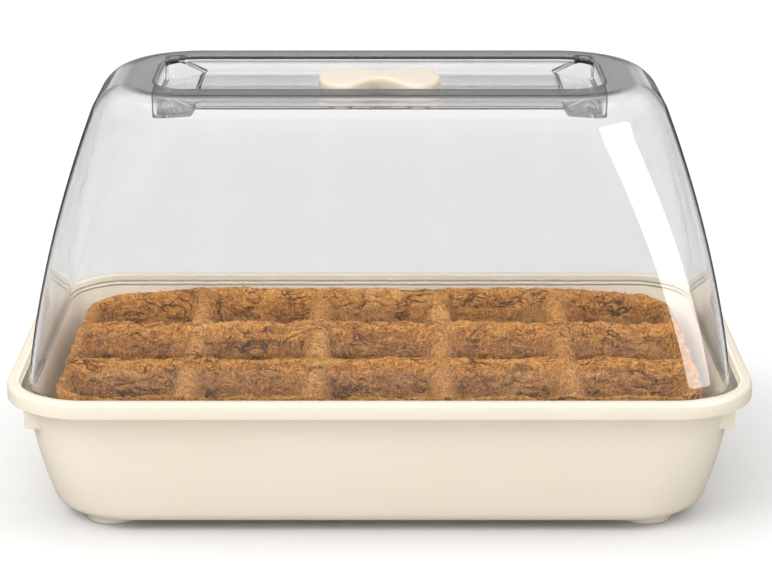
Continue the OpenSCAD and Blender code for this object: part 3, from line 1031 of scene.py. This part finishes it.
def knob_outline(drawn_in):
    """Points round the knob, drawn in from its edge by some millimetres."""
    quarter = []
    for i in range(2 * KNOB_STEPS + 1):
        s = i / KNOB_STEPS
        along = knob_edge(min(2, s + KNOB_NUDGE)) - knob_edge(max(0, s - KNOB_NUDGE))
        along /= np.linalg.norm(along)
        quarter.append(knob_edge(s) + drawn_in * np.array([along[1], -along[0]]))
    quarter = np.array(quarter)
    quarter[0][0] = 0.0
    quarter[-1][1] = 0.0
    back_left = quarter[1:] * (-1, 1)
    front_left = quarter[-2::-1] * (-1, -1)
    front_right = quarter[1:-1] * (1, -1)
    return np.concatenate([quarter[::-1], back_left, front_left, front_right])


def knob_loop(drawn_in, down, share=1.0):
    """A loop of the knob's crowned top, at a share of its width."""
    xy = knob_outline(drawn_in) * share
    crown = KNOB_CROWN * (1 - (np.linalg.norm(xy, axis=1) / (KNOB_W / 2)) ** 2)
    return np.column_stack([xy, KNOB_Z + KNOB_EDGE_H + crown - down])


def knob_grip():
    loops = [knob_loop(KNOB_EDGE_R, 0.0, share) for share in KNOB_TOP_SHARES]
    loops += [knob_loop(inwards, down) for inwards, down in round_edge(KNOB_EDGE_R, 9, 90, 0)]
    loops += [level_loop(knob_outline(inset), KNOB_Z + up) for inset, up in SMALL_EDGE]
    loops.append(level_loop(knob_outline(SMALL_EDGE[-1][0]) * KNOB_FOOT_SHARE, KNOB_Z))
    return loft("vent_knob_grip", loops)


def knob_stem():
    step_z = STEM_END_Z + STEM_TIP_H
    profile = [(STEM_R, KNOB_Z + STEM_ROOT), (STEM_R, step_z), (STEM_TIP_R, step_z)]
    profile += [(STEM_TIP_R, STEM_END_Z + STEM_TIP_EDGE), (STEM_TIP_R - STEM_TIP_EDGE, STEM_END_Z)]
    return round_piece("stem", 0, 0, profile)


def make_vent():
    knob = knob_grip()
    join(knob, [knob_stem()])
    smooth(knob)
    finish_piece(knob, KNOB_CREAM_PAINTED_DARKER, "vent", "knob_plastic", "vent_knob")
    collar = frame["nodes"]["vent_retainer"]
    collar.data.materials.clear()
    collar.data.materials.append(KNOB_CREAM_PAINTED_DARKER)


# Coir pots


SHEET_LIFT = 2.0
BACK_LIFT = 1.6
CORNER_DROOP = 7.5
DROOP_STEEP = 2.4
DROOP_ACROSS = 0.62
DROOP_DEEP = 0.2
SHEET_WAVE = 0.7
SHEET_WAVE_X = 0.031
SHEET_WAVE_Y = 0.045
SHEET_WAVE_START = 1.2


def sheet_sag(x, y):
    """How far the sheet's surface lies above the plain rim height: raised back edge, drooping corners."""
    across = x / SHEET_HALF[0]
    deep = y / SHEET_HALF[1]
    lift = SHEET_LIFT + BACK_LIFT * np.clip(deep, 0, 1)
    at_end = np.clip(np.abs(across) - DROOP_ACROSS, 0, 1)
    droop = CORNER_DROOP * at_end * np.clip(deep - DROOP_DEEP, 0, 1) * DROOP_STEEP
    wave = SHEET_WAVE * np.sin(SHEET_WAVE_X * x + SHEET_WAVE_START) * np.cos(SHEET_WAVE_Y * y)
    return lift - droop + wave


# Points (inset, z, corner radius) of a pot, from the middle of its hollow over its rim to its underside
INNER_PROFILE = (
    (28.0, 11.3, 7), (21.0, 11.5, 7), (16.5, 12.4, 9), (14.2, 15.0, 9), (13.0, 20.0, 9),
    (11.4, 30.0, 9), (9.8, 40.0, 9), (8.4, 50.0, 9), (7.3, 58.0, 9), (6.2, 63.5, 8),
    (5.0, 67.0, 7), (3.6, 69.1, 5), (2.0, 70.0, 2.5), (0.0, 70.3, 0.4),
)
OUTER_PROFILE = (
    (0.0, 66.0, 0.4), (0.8, 62.5, 3), (1.8, 58.0, 6), (5.0, 34.0, 9),
    (8.4, 11.0, 9), (9.4, 8.4, 9), (11.0, 7.3, 9),
)
INNER_GAP = 1.1
OUTER_GAP = 2.6

# How the sheet's free edge is found, and how much a rim point swells upwards as it swells outwards
FREE_EDGE_IN = 0.3
FREE_EDGE_SHARE = 0.004
RIM_SWELL_UP = 0.8

# Loose strands grow from a height on, less on the outside and more at the sheet's frayed edge
FUZZ_LOW_Z = 30.0
FUZZ_RISE = 25.0
FUZZ_POWER = 1.5
OUTSIDE_TIMES = 0.25
OUTSIDE_FROM = 8
FRAYED_W = 4.0
FRAYED_TIMES = 3.0


def profile_points(profile, gap):
    """Points along a profile of (inset, z, corner radius), about gap millimetres apart."""
    points = [np.array(profile[0])]
    for first, second in zip(profile, profile[1:]):
        first, second = np.array(first), np.array(second)
        steps = max(1, round(np.linalg.norm((second - first)[:2]) / gap))
        points += [first + (second - first) * k / steps for k in range(1, steps + 1)]
    return points


def pot_corner_radii(row, col, inset, corner, depth):
    """The sheet's own four corners are rounder than the others."""
    big = max(corner, SHEET_CORNER_R * (1 - SHEET_CORNER_TAPER * depth) - inset)
    ends = ((POT_COLS, POT_ROWS), (1, POT_ROWS), (1, 1), (POT_COLS, 1))
    return [big if (col, row) == end else corner for end in ends]


def pot_loops(rings, row, col):
    """Loops through the rings of a pot, at its place in the sheet."""
    centre = ((col - (POT_COLS + 1) / 2) * POT_W, (row - (POT_ROWS + 1) / 2) * POT_D)
    loops = []
    for inset, z, corner in rings:
        depth = (POT_TOP - z) / (POT_TOP - FLOOR_Z)
        radii = pot_corner_radii(row, col, inset, corner, depth)
        half_x, half_y = POT_W / 2 - inset, POT_D / 2 - inset
        xy = rounded_outline(half_x, half_y, radii, arc_steps=12, side_steps=48) + centre
        raised = sheet_sag(xy[:, 0], xy[:, 1]) * np.clip(1 - depth, 0, 1) ** 2
        loops.append(np.column_stack([xy, z + raised]))
    return loops


def rim_swell(place):
    """The way a rim point swells: upwards, and outwards where the sheet ends."""
    free = place / (SHEET_HALF - FREE_EDGE_IN)
    out = np.where(np.abs(free) >= 1 - FREE_EDGE_SHARE, np.sign(free), 0.0)
    corner = SHEET_HALF - SHEET_CORNER_R
    if (np.abs(place) > corner).all():
        out = place - np.sign(place) * corner
        out = out / np.linalg.norm(out)
    push = np.array([out[0], out[1], RIM_SWELL_UP])
    return push / np.linalg.norm(push)


def fuzz_amounts(pot, outside):
    """How thick the loose strands grow at each point; outside is the first point of the outside."""
    places = np.array([v.co for v in pot.data.vertices])
    shown = np.clip((places[:, 2] / MM - FUZZ_LOW_Z) / FUZZ_RISE, 0, 1) ** FUZZ_POWER
    shown[outside:-2] *= OUTSIDE_TIMES
    shown[(SHEET_HALF - np.abs(places[:, :2] / MM)).min(axis=1) < FRAYED_W] *= FRAYED_TIMES
    return shown


def pot_mesh(name, row, col):
    """One pot of the sheet, with the way its felt swells and the thickness of its loose strands."""
    inner = profile_points(INNER_PROFILE, INNER_GAP)
    loops = pot_loops(inner + profile_points(OUTER_PROFILE, OUTER_GAP), row, col)
    pot = loft(name, loops)
    count = len(loops[0])
    top = len(inner) - 1
    normals = np.array([v.normal for v in pot.data.vertices])
    for k in (top, top + 1):
        for i in range(count):
            normals[k * count + i] = rim_swell(loops[k][i][:2])
    swell = pot.data.attributes.new("swell", "FLOAT_VECTOR", "POINT")
    swell.data.foreach_set("vector", normals.astype(np.float32).ravel())
    amounts = fuzz_amounts(pot, (top + OUTSIDE_FROM) * count)
    fuzz = pot.data.attributes.new("fuzz", "FLOAT", "POINT")
    fuzz.data.foreach_set("value", amounts.astype(np.float32))
    return pot


# Relief of the felt: its stretch, the dip of a crack across its cell, and the height of each kind
WRINKLE_STRETCH = (0.6, 1.0, 1.4)
CRACK_DIP = (0.0, 0.12, -1.0, 0.0)
FELT_HEIGHTS = {
    "Lump Height": 4.6 * MM,
    "Wrinkle Height": 4.2 * MM,
    "Crack Depth": 1.3 * MM,
    "Tuft Height": 2.4 * MM,
}


def stored(tree, name, kind):
    return node(tree, "GeometryNodeInputNamedAttribute", {"Name": name}, data_type=kind).outputs[0]


def centred_noise(tree, place, **shape):
    return math_node(tree, "SUBTRACT", noise(tree, place, **shape), 0.5)


def felted_tree():
    """Swells a plain pot into lumpy, wrinkled and cracked felt. Noise by place keeps neighbours joined."""
    tree, given, out = geometry_tree("felted_surface", dict.fromkeys(FELT_HEIGHTS, "Float"))
    place = node(tree, "GeometryNodeInputPosition").outputs[0]
    bent = vector_node(tree, "MULTIPLY", place, WRINKLE_STRETCH)
    cells = crack_cells(tree, crack_place(tree, place, swirl_noise(tree, place)), CRACK_SCALE)
    kinds = {
        "Lump Height": centred_noise(tree, place, scale=42.0, detail=2.0),
        "Wrinkle Height": centred_noise(tree, bent, scale=150.0, roughness=0.55, distortion=0.6),
        "Crack Depth": patchy(tree, remap(tree, cells, *CRACK_DIP), place, CRACK_PATCH_SCALE, CRACK_PATCHES),
        "Tuft Height": centred_noise(tree, place, scale=330.0, detail=2.0, roughness=0.7),
    }
    height = None
    for label, value in kinds.items():
        part = times(tree, value, given[label])
        height = part if height is None else math_node(tree, "ADD", height, part)
    offset = scaled_vector(tree, stored(tree, "swell", "FLOAT_VECTOR"), height)
    moved = node(tree, "GeometryNodeSetPosition", {0: given["Geometry"], "Offset": offset})
    close_tree(tree, given, out, moved.outputs[0])
    return tree


STRAND_R = 0.19
STRAND_LENGTH = 3.4
STRAND_TAPER = 0.7
STRAND_WAVE = 0.15
STRAND_WAVE_TURN = 9
STRAND_STEPS = 5
STRAND_SIDES = (90, 210, 330)
STRAND_BENDS = ((0.3, 0.3), (-0.7, 0.5), (1.0, 0.2), (0.1, 0.9))
STRAND_DENSITY = 110000.0
STRAND_TIP = 0.28
STRAND_SIZES = (0.35, 1.15)
ROW_SEED = 10


def strand_mesh(name, bend, lift):
    """A short curved fibre, three-sided and tapered, along X."""
    sides = np.radians(STRAND_SIDES)
    loops = []
    for k in range(STRAND_STEPS + 1):
        s = k / STRAND_STEPS - 0.5
        r = STRAND_R * (1 - abs(2 * s) ** 3 * STRAND_TAPER)
        up = lift * (0.5 - 2 * s * s) + STRAND_WAVE * math.sin(STRAND_WAVE_TURN * s)
        centre = np.array([STRAND_LENGTH * s, bend * (4 * s * s - 0.5), up])
        loops.append(centre + np.column_stack([np.zeros(3), r * np.cos(sides), r * np.sin(sides)]))
    return loft(name, loops)


def random_value(tree, low, high, seed):
    inputs = {2: low, 3: high, "Seed": seed}
    return node(tree, "FunctionNodeRandomValue", inputs, data_type="FLOAT").outputs[1]


def strand_tree():
    """Scatters loose strands over felt, flat on it, thickest where the fuzz attribute says."""
    sizes = {"Density": "Float", "Seed": "Int", "Strands": "Collection"}
    tree, given, out = geometry_tree("loose_strands", sizes)
    seed = given["Seed"]
    density = times(tree, stored(tree, "fuzz", "FLOAT"), given["Density"])
    spread = {0: given["Geometry"], "Density": density, "Seed": seed}
    points = node(tree, "GeometryNodeDistributePointsOnFaces", spread).outputs
    source = {0: given["Strands"], "Separate Children": True, "Reset Children": True}
    kinds = node(tree, "GeometryNodeCollectionInfo", source).outputs[0]
    spin = random_value(tree, -math.pi, math.pi, seed)
    tip = random_value(tree, -STRAND_TIP, STRAND_TIP, seed=7)
    local = node(tree, "ShaderNodeCombineXYZ", {1: tip, 2: spin}).outputs[0]
    rotation = {0: points["Rotation"], 1: local}
    turned = node(tree, "FunctionNodeRotateRotation", rotation, rotation_space="LOCAL").outputs[0]
    placing = {
        0: points["Points"],
        "Instance": kinds,
        "Pick Instance": True,
        "Rotation": turned,
        "Scale": random_value(tree, *STRAND_SIZES, seed=11),
    }
    placed = node(tree, "GeometryNodeInstanceOnPoints", placing).outputs[0]
    tone = {0: placed, "Name": "tone", "Value": random_value(tree, 0.0, 1.0, seed=23)}
    toned = node(tree, "GeometryNodeStoreNamedAttribute", tone, data_type="FLOAT", domain="INSTANCE")
    close_tree(tree, given, out, toned.outputs[0])
    return tree


def strand_kinds():
    """The few fibre shapes that the scatter picks from, kept out of the view."""
    kinds = bpy.data.collections.new("strand_kinds")
    for k, (bend, lift) in enumerate(STRAND_BENDS):
        strand = strand_mesh(f"strand_kind_{k}", bend, lift)
        bpy.context.scene.collection.objects.unlink(strand)
        kinds.objects.link(strand)
    return kinds


def make_pots():
    felt = felted_tree()
    scatter = strand_tree()
    kinds = strand_kinds()
    strands = {"Density": STRAND_DENSITY, "Strands": kinds, "Material": STRAND}
    for row in range(1, POT_ROWS + 1):
        for col in range(1, POT_COLS + 1):
            label = f"r{row}_c{col}"
            pot = pot_mesh(f"coir_felt_{label}", row, col)
            grow(pot, felt, {**FELT_HEIGHTS, "Material": COIR})
            smooth(pot, angle=65)
            loose = add_object(f"coir_strands_{label}", pot.data.copy())
            grow(loose, scatter, {**strands, "Seed": ROW_SEED * row + col})
            loose.data.shade_smooth()
            finish_piece(pot, COIR, "pots", "coir", f"coir_pot_{label}")
            finish_piece(loose, STRAND, "pots", "coir")
    for strand in list(kinds.objects):
        drop(strand)
    bpy.data.collections.remove(kinds)


# Studio, in metres


CAMERA_PLACE = (0.0, -1.321, 0.487)
CAMERA_PITCH = 16.29
CAMERA_LENS = 119.6
CAMERA_SHIFT = 0.0083
FLOOR_HALF = 14.0
FLOOR_PALE = grey(0.67)
FLOOR_WHITE = grey(0.68)
FLOOR_DIM = grey(0.07)

# The room's brightness from straight down (0) over the horizon (0.5) to straight up (1)
ROOM_STOPS = ((0.0, 0.95), (0.505, 0.6), (0.545, 0.32), (0.68, 0.30), (0.80, 0.9), (1.0, 1.1))

# Soft lights: name, place, target, size and power
PART_PLACE = (0.0, 0.0, 0.1)
OVERHEAD = ("overhead_softbox", (0.0, 0.1, 2.4), PART_PLACE, (2.6, 2.2), 10.0)
RIGHT_PANEL = ("right_panel", (1.204, -0.715, 0.6), (0.0, 0.0, 0.6), (0.95, 1.14), 32.0)

# Soft lights of one size that no mirror image shows: name, place, target and power
HIDDEN_SIZE = (1.7, 1.1)
HIDDEN_LIGHTS = (
    ("front_key", (-1.1, -1.4, 1.7), PART_PLACE, 28.0),
    ("low_fill", (-0.1, -1.8, 0.45), PART_PLACE, 13.0),
    ("left_key", (-1.9, -0.4, 1.7), PART_PLACE, 11.5),
    ("right_key", (1.9, -0.4, 1.7), PART_PLACE, 15.0),
    ("back_wash", (0.0, 2.0, 1.2), (0.0, 1.9, 0.0), 14.0),
)


def make_camera():
    lens = bpy.data.cameras.new("photo_camera")
    lens.lens = CAMERA_LENS
    lens.sensor_width = 36.0
    lens.shift_x = CAMERA_SHIFT
    lens.clip_end = 60.0
    camera = add_object("photo_camera", lens)
    camera.location = CAMERA_PLACE
    camera.rotation_euler = (math.radians(90 - CAMERA_PITCH), 0, 0)
    bpy.context.scene.camera = camera


def floor_coat():
    """Pale, but dimmer in mirror images, as on a lit sheet in a dark room."""
    made, tree, surface, out = material("pale_floor")
    place = node(tree, "ShaderNodeTexCoord").outputs["Object"]
    tone = noise(tree, place, scale=3.0, detail=2.0)
    pale = blend_colour(tree, tone, FLOOR_PALE, FLOOR_WHITE)
    feed(tree, surface, {"Base Color": pale, "Roughness": 0.9, "Specular IOR Level": 0.1})
    dim = node(tree, "ShaderNodeBsdfDiffuse", {"Color": FLOOR_DIM}).outputs[0]
    path = node(tree, "ShaderNodeLightPath").outputs
    straight = math_node(tree, "SUBTRACT", 1.0, path["Is Transmission Ray"])
    mirrored = times(tree, path["Is Glossy Ray"], straight)
    choice = node(tree, "ShaderNodeMixShader", {0: mirrored, 1: surface.outputs[0], 2: dim})
    tree.links.new(choice.outputs[0], out.inputs["Surface"])
    return made


def make_floor():
    mesh = bpy.data.meshes.new("studio_floor")
    corners = [(sx * FLOOR_HALF, sy * FLOOR_HALF, 0) for sx, sy in ((-1, -1), (1, -1), (1, 1), (-1, 1))]
    mesh.from_pydata(corners, [], [(0, 1, 2, 3)])
    floor = add_object("studio_floor", mesh)
    floor.data.materials.append(floor_coat())


def soft_light(name, place, target, size, power):
    lamp = bpy.data.lights.new(name, "AREA")
    lamp.shape = "RECTANGLE"
    lamp.size, lamp.size_y = size
    lamp.energy = power
    light = add_object(name, lamp)
    light.location = place
    aim = Vector(target) - Vector(place)
    light.rotation_euler = aim.to_track_quat("-Z", "Y").to_euler()
    return light


def make_world():
    """A pale room with a darker band from just above the horizon to the lights overhead."""
    world = bpy.data.worlds.new("studio_room")
    world.use_nodes = True
    tree = world.node_tree
    height = height_of(tree, node(tree, "ShaderNodeTexCoord").outputs["Generated"])
    ramp = node(tree, "ShaderNodeValToRGB", {0: remap(tree, height, -1.0, 1.0)})
    stops = ramp.color_ramp.elements
    for k, (at, level) in enumerate(ROOM_STOPS):
        stop = stops[k] if k < 2 else stops.new(at)
        stop.position = at
        stop.color = grey(level)
    feed(tree, tree.nodes["Background"], {"Color": ramp.outputs[0], "Strength": 1.0})
    bpy.context.scene.world = world


def make_studio():
    make_camera()
    make_floor()
    make_world()
    soft_light(*OVERHEAD)
    for name, place, target, power in HIDDEN_LIGHTS:
        hidden = soft_light(name, place, target, HIDDEN_SIZE, power)
        hidden.visible_glossy = False
        hidden.visible_transmission = False
    panel = soft_light(*RIGHT_PANEL)
    panel.visible_diffuse = False
    panel.visible_transmission = False
    scene = bpy.context.scene
    scene.view_settings.view_transform = "Standard"
    scene.cycles.max_bounces = 24
    scene.cycles.transmission_bounces = 20
    scene.cycles.transparent_max_bounces = 24


make_studio()
make_tray()
make_dome()
make_vent()
make_pots()
